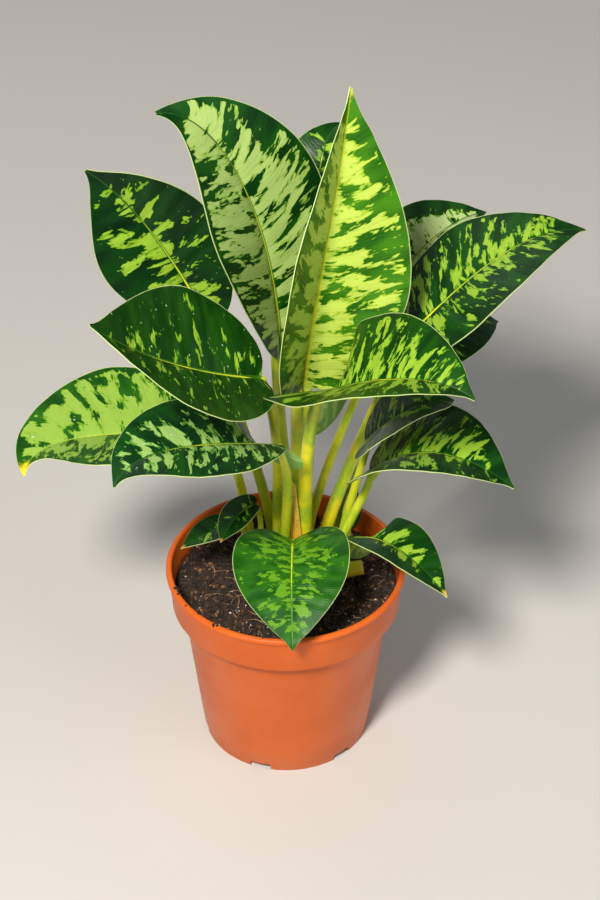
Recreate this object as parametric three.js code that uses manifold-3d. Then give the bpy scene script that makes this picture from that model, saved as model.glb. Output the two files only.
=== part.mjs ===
// A potted homalomena: heart-shaped leaves on upright stalks, in a round nursery pot.
// Millimetres, +Z up, standing on z = 0. Each piece is placed from the pot's axis, and the whole
// group is then shifted so that the origin is under the middle of the plant.
import * as THREE from 'three';
import { mergeVertices } from 'three/addons/utils/BufferGeometryUtils.js';
import Module from 'manifold-3d';

const wasm = await Module();
wasm.setup();

// Pot
const rimRadius = 65;
const potHeight = 111;
const collarFoot = 88;
const collarRadius = 62;
const shoulderRadius = 56.5;
const baseRadius = 46;
const wall = 1.8;
const potFloor = 5;
const floorThickness = 2;
const notchCount = 6;
const notchWidth = 9;
const notchDepth = 12;
const notchHeight = 3.5;
const firstNotch = -108;
const drainRadius = 3.5;
const drainCircle = 34;

// Soil
const soilTop = 98;
const soilGap = 0.3;
const rootDepth = 8;

// Leaves
const bladeThickness = 1.2;
const bladeStepsAlong = 10;
const bladeStepsAcross = 4;
const bladeEnds = 0.02;
const stalkSides = 7;
const stalkSteps = 7;
const stalkGap = 1.6;
const socketGap = 0.4;

// Sheath: its foot and head are shares of the stalk's length, its turns are degrees.
const sheathFoot = 0.07;
const sheathHead = 0.58;
const sheathFacing = -150;
const sheathHalfTurn = 56;
const sheathGap = 0.4;
const sheathThickness = 0.7;
const sheathTaper = 0.75;

// The stub of an old stalk: its own size, where it lies, and how far it leans over, in radians.
const stubFoot = 4.6;
const stubTip = 4;
const stubLength = 12;
const stubPlace = [36, 3, soilTop + 6.2];
const stubLean = 1.35;

// From the pot's axis to the middle of the whole plant's outline.
const groundShift = [-7, -15, 0];

const potOrange = 0xd9662c;
const soilBrown = 0x2b211b;
const leafGreen = 0x2f6b22;
const paleGreen = 0x9dbb4a;
const stalkGreen = 0xb9c23c;
const sheathBrown = 0xc27a34;

// rib: the midrib, from the neck where the stalk joins to the tip, as a Bezier curve.
// half: half the width. fold: how far each half lifts, in degrees.
// roll: how far the blade is turned about the line from neck to tip; the right half lifts.
// lobe: how far the rounded base reaches back past the neck.
// belly: the lower it is, the nearer the neck the blade is widest.
// foot: where the stalk leaves the soil. stalk: its radius at the foot and at the neck.
const leaves = {
  upright: {
    rib: [[9, -3, 228], [15, 1, 285], [28, 18, 335], [33, 40, 385]],
    half: 47, fold: 29, roll: -69, lobe: 8, belly: 0.72, foot: [7, 10], stalk: [4, 3.2],
  },
  hook_left: {
    rib: [[-2, 18, 235], [-2, 20, 306], [-30, 29, 384], [-66, 14, 380]],
    half: 39, fold: 18, roll: 48, lobe: 6, belly: 1, foot: [3, 24], stalk: [3.8, 2.8],
  },
  far_left: {
    rib: [[-40, 24, 254], [-56, 25, 288], [-74, 26, 324], [-100, 18, 348]],
    half: 33, fold: 14, roll: 85, lobe: 9, belly: 0.94, foot: [-6, 29], stalk: [3.2, 2.4],
  },
  front_left: {
    rib: [[-10, -25, 252], [-36, -39, 262], [-72, -62, 290], [-92, -84, 325]],
    half: 40, fold: 20, roll: 32, lobe: 6, belly: 0.78, foot: [-5, 9], stalk: [3, 2.4],
  },
  low_far_left: {
    rib: [[-33, 12, 190], [-75, 12, 191], [-141, 14, 193], [-136, -14, 178]],
    half: 45, fold: 15, roll: 0, lobe: 8, belly: 0.9, foot: [-18, 15], stalk: [3, 2.4],
  },
  low_left: {
    rib: [[-2, -36, 219], [-30, -50, 230], [-79, -64, 243], [-84, -84, 225]],
    half: 34, fold: 8, roll: 2, lobe: 6, belly: 0.9, foot: [-3, 0], stalk: [3, 2.2],
  },
  front_right: {
    rib: [[14, -28, 243], [35, -45, 266], [74, -62, 286], [94, -72, 270]],
    half: 42, fold: 20, roll: -4, lobe: 8, belly: 0.78, foot: [10, -1], stalk: [4.8, 2.8],
  },
  right: {
    rib: [[56, 28, 232], [86, 28, 268], [120, 40, 306], [158, 54, 289]],
    half: 40, fold: 5, roll: 0, lobe: 7, belly: 0.8, foot: [17, 13], stalk: [3.8, 2.8],
  },
  back_right: {
    rib: [[58, 80, 236], [72, 90, 258], [92, 103, 270], [110, 114, 263]],
    half: 30, fold: 10, roll: 0, lobe: 6, belly: 0.8, foot: [11, 35], stalk: [2.8, 2.2],
  },
  back_centre: {
    rib: [[14, 56, 228], [16, 68, 284], [14, 88, 334], [32, 108, 322]],
    half: 34, fold: 10, roll: 0, lobe: 8, belly: 0.8, foot: [2, 40], stalk: [2.8, 2.2],
  },
  shaded_right: {
    rib: [[41, 0, 193], [54, -6, 214], [70, -8, 228], [89, 2, 218]],
    half: 31, fold: 8, roll: 12, lobe: 4, belly: 0.8, foot: [27, 9], stalk: [2.6, 2],
  },
  low_right: {
    rib: [[43, -4, 175], [62, -12, 202], [88, -27, 213], [119, -38, 190]],
    half: 36, fold: 14, roll: 4, lobe: 7, belly: 0.75, foot: [20, -2], stalk: [2.8, 2.2],
  },
  tucked_right: {
    rib: [[56, 33, 216], [76, 46, 234], [99, 60, 233], [116, 76, 217]],
    half: 24, fold: 4, roll: -15, lobe: 4, belly: 0.8, foot: [24, 25], stalk: [2.6, 2],
  },
  front_heart: {
    rib: [[4, -16, 141], [3, -36, 148], [3, -62, 137], [4, -79, 115]],
    half: 31, fold: 8, roll: -4, lobe: 17, belly: 0.72, foot: [5, -13], stalk: [2.4, 1.9],
  },
  low_right_small: {
    rib: [[37, -6, 134], [52, -18, 147], [70, -33, 141], [86, -45, 123]],
    half: 21, fold: 14, roll: 10, lobe: 6, belly: 0.75, foot: [16, -10], stalk: [2.2, 1.7],
  },
  left_small: {
    rib: [[-24, 10, 131], [-34, 6, 133], [-46, -1, 131], [-57, -7, 126]],
    half: 10, fold: 10, roll: 0, lobe: 3, belly: 0.8, foot: [-20, 3], stalk: [1.8, 1.4],
  },
  left_folded: {
    rib: [[-15, 2, 150], [-22, -1, 151], [-30, -6, 145], [-35, -12, 134]],
    half: 9, fold: 30, roll: 30, lobe: 2, belly: 0.8, foot: [-15, 8], stalk: [1.8, 1.4],
  },
  inner_small: {
    rib: [[35, 22, 116], [35, 23, 126], [36, 24, 138], [37, 24, 148]],
    half: 6, fold: 20, roll: -68, lobe: 1, belly: 0.8, foot: [34, 22], stalk: [1.6, 1.2],
  },
};
const baseRoundness = 0.8;
const tipSharpness = 0.4;
const veinSweep = 0.11;
const lobeReach = 0.12;
const marginSpread = 1.25;

// How the stalk's Bezier handles run, as shares of its rise from the soil to the neck.
const rootHandle = 0.28;
const neckHandle = 0.08;
const neckDrop = 0.16;

const vec = (p) => new THREE.Vector3(p[0], p[1], p[2]);

// The midrib and the blade's own axes. The level side is square to the way the leaf points.
function leafFrame(leaf) {
  const rib = new THREE.CubicBezierCurve3(...leaf.rib.map(vec));
  const chord = vec(leaf.rib[3]).sub(vec(leaf.rib[0])).normalize();
  const level = new THREE.Vector3(chord.y, -chord.x, 0).normalize();
  const side = level.applyAxisAngle(chord, -THREE.MathUtils.degToRad(leaf.roll));
  return { rib, side, length: rib.getLength() };
}

// A point of the leaf's middle surface: along runs 0 to 1 from neck to tip and follows the side
// veins outwards, across runs -1 to 1 from the left margin to the right.
function bladePoint(leaf, frame, along, across) {
  const reach = Math.abs(across);
  const roundness = baseRoundness + tipSharpness * along;
  const halfWidth = leaf.half * Math.sin(Math.PI * along ** leaf.belly) ** roundness;
  const lobePlace = along / lobeReach;
  const outer = frame.length * along - leaf.lobe * lobePlace * Math.exp(1 - lobePlace);
  const inner = frame.length * (along - veinSweep * Math.sin(Math.PI * along));
  const place = (inner + (outer - inner) * reach ** marginSpread) / frame.length;
  const onRib = THREE.MathUtils.clamp(place, 0, 1);
  const tangent = frame.rib.getTangentAt(onRib);
  const middle = frame.rib.getPointAt(onRib).addScaledVector(tangent, (place - onRib) * frame.length);
  const side = frame.side.clone().addScaledVector(tangent, -frame.side.dot(tangent)).normalize();
  const normal = side.clone().cross(tangent);
  const fold = THREE.MathUtils.degToRad(leaf.fold);
  const out = halfWidth * reach;
  return middle
    .addScaledVector(side, Math.sign(across) * out * Math.cos(fold))
    .addScaledVector(normal, out * Math.sin(fold));
}

function bladeNormal(leaf, frame, along, across) {
  const step = 0.01;
  const sideStep = 0.05;
  const low = Math.max(across - sideStep, -1);
  const high = Math.min(across + sideStep, 1);
  const alongEdge = bladePoint(leaf, frame, along + step, across)
    .sub(bladePoint(leaf, frame, along - step, across));
  const acrossEdge = bladePoint(leaf, frame, along, high).sub(bladePoint(leaf, frame, along, low));
  return acrossEdge.cross(alongEdge).normalize();
}

// A thin closed blade: a box whose grid is laid over the leaf surface.
function bladeGeometry(leaf) {
  const frame = leafFrame(leaf);
  const box = new THREE.BoxGeometry(2, 1, bladeThickness, bladeStepsAcross, bladeStepsAlong, 1);
  const spots = box.attributes.position;
  for (let i = 0; i < spots.count; i += 1) {
    const eased = (1 - Math.cos(Math.PI * (spots.getY(i) + 0.5))) / 2;
    const along = bladeEnds + (1 - 2 * bladeEnds) * eased;
    const across = spots.getX(i);
    const point = bladePoint(leaf, frame, along, across)
      .addScaledVector(bladeNormal(leaf, frame, along, across), spots.getZ(i));
    spots.setXYZ(i, point.x, point.y, point.z);
  }
  return box;
}

// The stalk's line, from its root in the soil to just short of the blade.
function stalkPath(leaf) {
  const neck = vec(leaf.rib[0]);
  const start = vec(leaf.rib[1]).sub(neck).normalize();
  const end = neck.clone().addScaledVector(start, -stalkGap);
  const root = new THREE.Vector3(leaf.foot[0], leaf.foot[1], soilTop - rootDepth);
  const rise = end.distanceTo(root);
  const leave = root.clone().add(new THREE.Vector3(0, 0, rise * rootHandle));
  const arrive = end.clone().addScaledVector(start, -rise * neckHandle);
  arrive.z -= rise * neckDrop;
  return new THREE.CubicBezierCurve3(root, leave, arrive, end);
}

function nearestRing(rings, spot) {
  const gaps = rings.map((ring) => ring.distanceTo(spot));
  return gaps.indexOf(Math.min(...gaps));
}

// A tapered round stalk: a circle swept along the line, then drawn in towards the neck.
function stalkGeometry(leaf, extra = 0) {
  const path = stalkPath(leaf);
  const circle = new THREE.Shape();
  for (let i = 0; i < stalkSides; i += 1) {
    const turn = (2 * Math.PI * i) / stalkSides;
    const [x, y] = [Math.cos(turn), Math.sin(turn)];
    if (i === 0) circle.moveTo(x, y);
    else circle.lineTo(x, y);
  }
  const sweep = new THREE.ExtrudeGeometry(circle, { steps: stalkSteps, extrudePath: path });
  const spots = sweep.attributes.position;
  const rings = Array.from({ length: stalkSteps + 1 }, (_, i) => path.getPointAt(i / stalkSteps));
  for (let i = 0; i < spots.count; i += 1) {
    const spot = new THREE.Vector3().fromBufferAttribute(spots, i);
    const ring = nearestRing(rings, spot);
    const radius = THREE.MathUtils.lerp(leaf.stalk[0], leaf.stalk[1], ring / stalkSteps) + extra;
    spot.sub(rings[ring]).multiplyScalar(radius).add(rings[ring]);
    spots.setXYZ(i, spot.x, spot.y, spot.z);
  }
  return sweep;
}

function toSolid(geometry) {
  const bare = geometry.clone();
  bare.deleteAttribute('normal');
  bare.deleteAttribute('uv');
  const merged = mergeVertices(bare, 1e-4);
  return new wasm.Manifold(new wasm.Mesh({
    numProp: 3,
    vertProperties: new Float32Array(merged.attributes.position.array),
    triVerts: new Uint32Array(merged.index.array),
  }));
}

function fromSolid(solid) {
  const mesh = solid.getMesh();
  const geometry = new THREE.BufferGeometry();
  geometry.setAttribute('position', new THREE.BufferAttribute(mesh.vertProperties, 3));
  geometry.setIndex(new THREE.BufferAttribute(mesh.triVerts, 1));
  return geometry;
}

// Turns a profile of [radius, height] points about the Z axis.
function lathe(profile, segments) {
  const turned = new THREE.LatheGeometry(profile.map(([r, z]) => new THREE.Vector2(r, z)), segments);
  return turned.rotateX(Math.PI / 2);
}

// The pot's inner radius at a height inside it.
function innerRadius(height) {
  const share = height / collarFoot;
  return THREE.MathUtils.lerp(baseRadius, shoulderRadius, share) - wall;
}

function potGeometry() {
  const floorTop = potFloor + floorThickness;
  const profile = [
    [0, potFloor], [baseRadius - 5, potFloor], [baseRadius - 4, 0], [baseRadius, 0],
    [shoulderRadius, collarFoot - 1], [collarRadius, collarFoot], [rimRadius - 1.5, potHeight - 4],
    [rimRadius, potHeight - 2.5], [rimRadius - 0.6, potHeight - 0.5], [rimRadius - 2, potHeight],
    [rimRadius - 3.4, potHeight - 1], [collarRadius - wall - 0.4, collarFoot + 3],
    [innerRadius(collarFoot), collarFoot - 1], [innerRadius(floorTop), floorTop], [0, floorTop],
  ];
  let pot = toSolid(lathe(profile, 36));
  for (let i = 0; i < notchCount; i += 1) {
    const turn = THREE.MathUtils.degToRad(firstNotch + (360 / notchCount) * i);
    const notch = new THREE.BoxGeometry(notchDepth, notchWidth, notchHeight * 2);
    notch.translate(baseRadius - 1, 0, 0).rotateZ(turn);
    pot = pot.subtract(toSolid(notch));
    const drain = new THREE.CylinderGeometry(drainRadius, drainRadius, 8, 8).rotateX(Math.PI / 2);
    drain.translate(drainCircle, 0, potFloor + 1).rotateZ(turn);
    pot = pot.subtract(toSolid(drain));
  }
  return fromSolid(pot);
}

// The plug of potting mix, with a socket for each stalk.
function soilGeometry() {
  const bottom = potFloor + floorThickness + soilGap;
  const profile = [
    [0, bottom], [innerRadius(bottom) - soilGap, bottom],
    [innerRadius(collarFoot) - soilGap, collarFoot - 1],
    [collarRadius - wall - 1, collarFoot + 3.4], [collarRadius - wall - 0.4, soilTop - 1],
    [0, soilTop],
  ];
  let soil = toSolid(lathe(profile, 36));
  for (const leaf of Object.values(leaves)) {
    soil = soil.subtract(toSolid(stalkGeometry(leaf, socketGap)));
  }
  return fromSolid(soil);
}

// The dry sheath of a shed leaf, still hugging one side of the thickest stalk.
function sheathGeometry() {
  const path = stalkPath(leaves.front_right);
  const box = new THREE.BoxGeometry(2, 1, 1, 6, 6, 1);
  const spots = box.attributes.position;
  for (let i = 0; i < spots.count; i += 1) {
    const climb = spots.getY(i) + 0.5;
    const halfTurn = sheathHalfTurn * (1 - sheathTaper * climb ** 2);
    const turn = THREE.MathUtils.degToRad(sheathFacing + halfTurn * spots.getX(i));
    const radius = leaves.front_right.stalk[0] + sheathGap + sheathThickness * (spots.getZ(i) + 0.5);
    const spot = path.getPointAt(sheathFoot + (sheathHead - sheathFoot) * climb);
    spots.setXYZ(i, spot.x + radius * Math.cos(turn), spot.y + radius * Math.sin(turn), spot.z);
  }
  return box;
}

// What is left of an old stalk that was cut off, lying against the soil.
function stubGeometry() {
  const stub = new THREE.CylinderGeometry(stubTip, stubFoot, stubLength, 10);
  return stub.rotateX(Math.PI / 2).rotateY(stubLean).translate(...stubPlace);
}

const group = new THREE.Group();

function add(name, geometry, color, roughness) {
  const material = new THREE.MeshStandardMaterial({ color, roughness, metalness: 0 });
  const mesh = new THREE.Mesh(geometry, material);
  mesh.name = name;
  group.add(mesh);
}

add('pot', potGeometry(), potOrange, 0.45);
add('soil', soilGeometry(), soilBrown, 0.95);
for (const [name, leaf] of Object.entries(leaves)) {
  add(`leaf_${name}`, bladeGeometry(leaf), leafGreen, 0.35);
  add(`stalk_${name}`, stalkGeometry(leaf), stalkGreen, 0.5);
}
add('sheath', sheathGeometry(), sheathBrown, 0.6);
add('cut_stub', stubGeometry(), paleGreen, 0.6);

// The origin is on the ground, under the middle of the whole plant and not of the pot.
group.position.set(...groundShift);

export default group;
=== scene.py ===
import bisect
import math
import random

import bpy
from mathutils import Matrix, Vector, noise


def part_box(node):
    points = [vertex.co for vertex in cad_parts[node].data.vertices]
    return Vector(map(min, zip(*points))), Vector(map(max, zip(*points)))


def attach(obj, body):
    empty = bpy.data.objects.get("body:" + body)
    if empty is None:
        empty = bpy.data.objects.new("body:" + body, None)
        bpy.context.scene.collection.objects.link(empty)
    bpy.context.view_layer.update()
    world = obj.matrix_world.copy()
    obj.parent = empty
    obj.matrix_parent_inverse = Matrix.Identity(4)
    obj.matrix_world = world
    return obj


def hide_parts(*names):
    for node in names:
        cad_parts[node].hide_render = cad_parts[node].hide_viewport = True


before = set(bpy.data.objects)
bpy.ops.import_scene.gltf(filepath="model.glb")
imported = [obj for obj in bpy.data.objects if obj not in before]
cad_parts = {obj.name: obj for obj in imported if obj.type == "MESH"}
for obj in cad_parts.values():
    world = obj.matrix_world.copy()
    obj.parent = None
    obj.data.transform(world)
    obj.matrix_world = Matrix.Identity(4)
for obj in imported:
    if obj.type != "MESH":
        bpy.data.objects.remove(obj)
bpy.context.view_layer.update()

mm = 0.001
potLow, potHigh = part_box("pot")
potAxis = Vector(((potLow.x + potHigh.x) / 2, (potLow.y + potHigh.y) / 2, 0))
print("frame loaded, pot axis at", round(potAxis.x, 4), round(potAxis.y, 4))


def place(spot):
    return potAxis + Vector(spot) * mm


shot = {"lens": 105, "sensor": 36, "distance": 1.376, "down": 37, "aim": (7.7, 0, 187.5)}
lightAim = (0, 0, 190)
keyLight = {"from": (-118, -330, 393), "distance": 1.9, "size": 0.4, "watts": 56, "tint": (1, 0.955, 0.88)}
fillLight = {"from": (420, -260, 250), "distance": 2.2, "size": 1.8, "watts": 13, "tint": (0.9, 0.95, 1)}
backLight = {"from": (-200, 420, 330), "distance": 2.2, "size": 1.6, "watts": 5, "tint": (1, 1, 1)}
floorLook = {"size": 14, "color": (0.56, 0.54, 0.51, 1), "roughness": 0.85}
skyLook = {"color": (0.93, 0.96, 1, 1), "strength": 0.17}


def addCamera():
    down = math.radians(shot["down"])
    spot = place(shot["aim"]) + Vector((0, -math.cos(down), math.sin(down))) * shot["distance"]
    bpy.ops.object.camera_add(location=spot, rotation=(math.pi / 2 - down, 0, 0))
    camera = bpy.context.object
    camera.data.lens = shot["lens"]
    camera.data.sensor_width = shot["sensor"]
    bpy.context.scene.camera = camera


def addLight(name, light):
    middle = place(lightAim)
    ray = Vector(light["from"]).normalized()
    bpy.ops.object.light_add(type="AREA", location=middle + ray * light["distance"])
    lamp = bpy.context.object
    lamp.name = name
    lamp.rotation_euler = ray.to_track_quat("Z", "Y").to_euler()
    lamp.data.shape = "DISK"
    lamp.data.size = light["size"]
    lamp.data.energy = light["watts"]
    lamp.data.color = light["tint"]


addCamera()
addLight("key_light", keyLight)
addLight("fill_light", fillLight)
addLight("back_light", backLight)
sky = bpy.data.worlds.new("studio_sky")
sky.use_nodes = True
sky.node_tree.nodes["Background"].inputs["Color"].default_value = skyLook["color"]
sky.node_tree.nodes["Background"].inputs["Strength"].default_value = skyLook["strength"]
bpy.context.scene.world = sky
bpy.context.scene.view_settings.view_transform = "Standard"
print("camera and lights ready")


# short ways to place and feed nodes
def feed(tree, socket, value):
    if isinstance(value, bpy.types.NodeSocket):
        tree.links.new(value, socket)
    else:
        socket.default_value = value


def calc(tree, operation, *values, clamp=False):
    node = tree.nodes.new("ShaderNodeMath")
    node.operation = operation
    node.use_clamp = clamp
    for socket, value in zip(node.inputs, values):
        feed(tree, socket, value)
    return node.outputs[0]


def times(tree, first, second):
    return calc(tree, "MULTIPLY", first, second)


def soften(tree, value, low, high, outLow=0.0, outHigh=1.0):
    node = tree.nodes.new("ShaderNodeMapRange")
    node.interpolation_type = "SMOOTHSTEP"
    for name, given in (("Value", value), ("From Min", low), ("From Max", high),
                        ("To Min", outLow), ("To Max", outHigh)):
        feed(tree, node.inputs[name], given)
    return node.outputs["Result"]


def mixColor(tree, mask, first, second, blend="MIX"):
    node = tree.nodes.new("ShaderNodeMix")
    node.data_type = "RGBA"
    node.blend_type = blend
    feed(tree, node.inputs[0], mask)
    feed(tree, node.inputs[6], first)
    feed(tree, node.inputs[7], second)
    return node.outputs[2]


def cloud(tree, vector, scale, detail=2.0, rough=0.5, distortion=0.0):
    node = tree.nodes.new("ShaderNodeTexNoise")
    feed(tree, node.inputs["Vector"], vector)
    for name, given in (("Scale", scale), ("Detail", detail), ("Roughness", rough),
                        ("Distortion", distortion)):
        feed(tree, node.inputs[name], given)
    return node.outputs["Fac"]


def bladeGrid(tree, size, long, wide, third):
    # a spot on the blade, counted in steps of the given length along it and width out from its rib
    return joinXyz(tree, calc(tree, "DIVIDE", size[1], long), calc(tree, "DIVIDE", size[0], wide), third)


def joinXyz(tree, x, y, z):
    node = tree.nodes.new("ShaderNodeCombineXYZ")
    for socket, value in zip(node.inputs, (x, y, z)):
        feed(tree, socket, value)
    return node.outputs[0]


def splitXyz(tree, vector):
    node = tree.nodes.new("ShaderNodeSeparateXYZ")
    feed(tree, node.inputs[0], vector)
    return node.outputs


def objectSpot(tree):
    return tree.nodes.new("ShaderNodeTexCoord").outputs["Object"]


def newMaterial(name, roughness, coat=0.0, coatRoughness=0.1, specular=0.5):
    material = bpy.data.materials.new(name)
    material.use_nodes = True
    shader = material.node_tree.nodes["Principled BSDF"]
    shader.inputs["Roughness"].default_value = roughness
    shader.inputs["Coat Weight"].default_value = coat
    shader.inputs["Coat Roughness"].default_value = coatRoughness
    shader.inputs["Specular IOR Level"].default_value = specular
    return material, material.node_tree, shader


def addBump(tree, shader, height, strength, distance):
    node = tree.nodes.new("ShaderNodeBump")
    node.inputs["Strength"].default_value = strength
    node.inputs["Distance"].default_value = distance
    feed(tree, node.inputs["Height"], height)
    tree.links.new(node.outputs[0], shader.inputs["Normal"])


def newGroup(name, inputs, outputs):
    tree = bpy.data.node_groups.new(name, "ShaderNodeTree")
    for label, kind, value in inputs:
        socket = tree.interface.new_socket(name=label, in_out="INPUT", socket_type="NodeSocket" + kind)
        if kind == "Float":
            socket.default_value = value
    for label, kind in outputs:
        tree.interface.new_socket(name=label, in_out="OUTPUT", socket_type="NodeSocket" + kind)
    return tree, tree.nodes.new("NodeGroupInput").outputs, tree.nodes.new("NodeGroupOutput").inputs


def useGroup(tree, group, **values):
    node = tree.nodes.new("ShaderNodeGroup")
    node.node_tree = group
    for name, value in values.items():
        feed(tree, node.inputs[name], value)
    return node.outputs


def buildMottle():
    # soft and fine unevenness of any grown or moulded surface
    tree, given, out = newGroup("mottle", [("Spot", "Vector", None), ("Scale", "Float", 100.0),
                                           ("Seed", "Float", 0.0)], [("Soft", "Float"), ("Fine", "Float")])
    move = tree.nodes.new("ShaderNodeVectorMath")
    move.operation = "ADD"
    tree.links.new(given["Spot"], move.inputs[0])
    tree.links.new(joinXyz(tree, given["Seed"], given["Seed"], given["Seed"]), move.inputs[1])
    feed(tree, out["Soft"], soften(tree, cloud(tree, move.outputs[0], given["Scale"], 3), 0.32, 0.68))
    fineScale = times(tree, given["Scale"], 9.0)
    feed(tree, out["Fine"], cloud(tree, move.outputs[0], fineScale, 2))
    return tree


def buildPatches():
    # the pale patches of a leaf, drawn out along its side veins, with ragged ends
    tree, given, out = newGroup(
        "leaf_patches",
        [("Size", "Vector", None), ("Share", "Vector", None), ("Seed", "Float", 0.0), ("Patch", "Float", 7.0),
         ("Stretch", "Float", 2.6), ("Cover", "Float", 0.4), ("Ragged", "Float", 0.28),
         ("Centre", "Float", 0.1)],
        [("Pale", "Float"), ("Bright", "Float"), ("Shade", "Float"), ("Fleck", "Float")])
    size, share = splitXyz(tree, given["Size"]), splitXyz(tree, given["Share"])
    reach = calc(tree, "ABSOLUTE", calc(tree, "MULTIPLY_ADD", share[0], 2.0, -1.0))
    wide = times(tree, given["Patch"], given["Stretch"])
    broad = bladeGrid(tree, size, given["Patch"], wide, given["Seed"])
    fine = bladeGrid(tree, size, 1.5, 5.5, calc(tree, "ADD", given["Seed"], 31.0))
    lumps = cloud(tree, broad, 1.0, 3.0, 0.6, 0.45)
    streaks = calc(tree, "SUBTRACT", cloud(tree, fine, 1.0, 2.0, 0.55, 0.6), 0.5)
    level = calc(tree, "MULTIPLY_ADD", streaks, given["Ragged"], lumps)
    inMiddle = soften(tree, reach, 0.25, 1.0, 0.5, -0.5)
    level = calc(tree, "MULTIPLY_ADD", inMiddle, given["Centre"], level)
    atEnds = times(tree, soften(tree, share[1], 0.86, 0.97), -0.22)
    level = calc(tree, "ADD", level, atEnds)
    level = calc(tree, "ADD", level, soften(tree, reach, 0.9, 0.985, 0.0, -0.2))
    edge = calc(tree, "MULTIPLY_ADD", given["Cover"], -0.34, 0.67)
    pale = soften(tree, calc(tree, "SUBTRACT", level, edge), -0.005, 0.005)
    bright = soften(tree, calc(tree, "SUBTRACT", level, edge), 0.022, 0.05)
    feed(tree, out["Pale"], pale)
    feed(tree, out["Bright"], bright)
    feed(tree, out["Shade"], soften(tree, cloud(tree, broad, 0.62, 1.0), 0.35, 0.65))
    speck = tree.nodes.new("ShaderNodeTexVoronoi")
    speck.inputs["Scale"].default_value = 1.0
    tree.links.new(bladeGrid(tree, size, 2.6, 4.2, given["Seed"]), speck.inputs["Vector"])
    feed(tree, out["Fleck"], soften(tree, speck.outputs["Distance"], 0.07, 0.13, 1.0, 0.0))
    return tree


def buildVeins():
    # side veins sweep out from the midrib; the blade swells softly between them
    tree, given, out = newGroup(
        "leaf_veins", [("Share", "Vector", None), ("Size", "Vector", None), ("Count", "Float", 14.0),
                       ("Broad", "Float", 1.0)],
        [("Line", "Float"), ("Fine", "Float"), ("Swell", "Float"), ("Rib", "Float"), ("Margin", "Float")])
    share, size = splitXyz(tree, given["Share"]), splitXyz(tree, given["Size"])
    reach = calc(tree, "ABSOLUTE", calc(tree, "MULTIPLY_ADD", share[0], 2.0, -1.0))
    sway = times(tree, cloud(tree, given["Share"], 5.0, 1.0), 0.5)
    turns = calc(tree, "ADD", times(tree, share[1], given["Count"]), sway)
    wave = calc(tree, "PINGPONG", turns, 0.5)
    feed(tree, out["Line"], soften(tree, wave, 0.0, 0.07, 1.0, 0.0))
    fineTurns = times(tree, turns, 6.0)
    feed(tree, out["Fine"], soften(tree, calc(tree, "PINGPONG", fineTurns, 0.5), 0.0, 0.5))
    feed(tree, out["Swell"], soften(tree, wave, 0.0, 0.5))
    width = times(tree, calc(tree, "MULTIPLY_ADD", share[1], -1.15, 1.45), given["Broad"])
    fromRib = calc(tree, "ABSOLUTE", size[0])
    feed(tree, out["Rib"], soften(tree, calc(tree, "DIVIDE", fromRib, width), 0.55, 1.2, 1.0, 0.0))
    feed(tree, out["Margin"], soften(tree, reach, 0.986, 0.998))
    return tree


def unevenness(tree, scale, seed):
    return useGroup(tree, mottle, Spot=objectSpot(tree), Scale=scale, Seed=seed)


mottle = buildMottle()
leafPatches = buildPatches()
leafVeins = buildVeins()
print("shared effects built")


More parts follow.
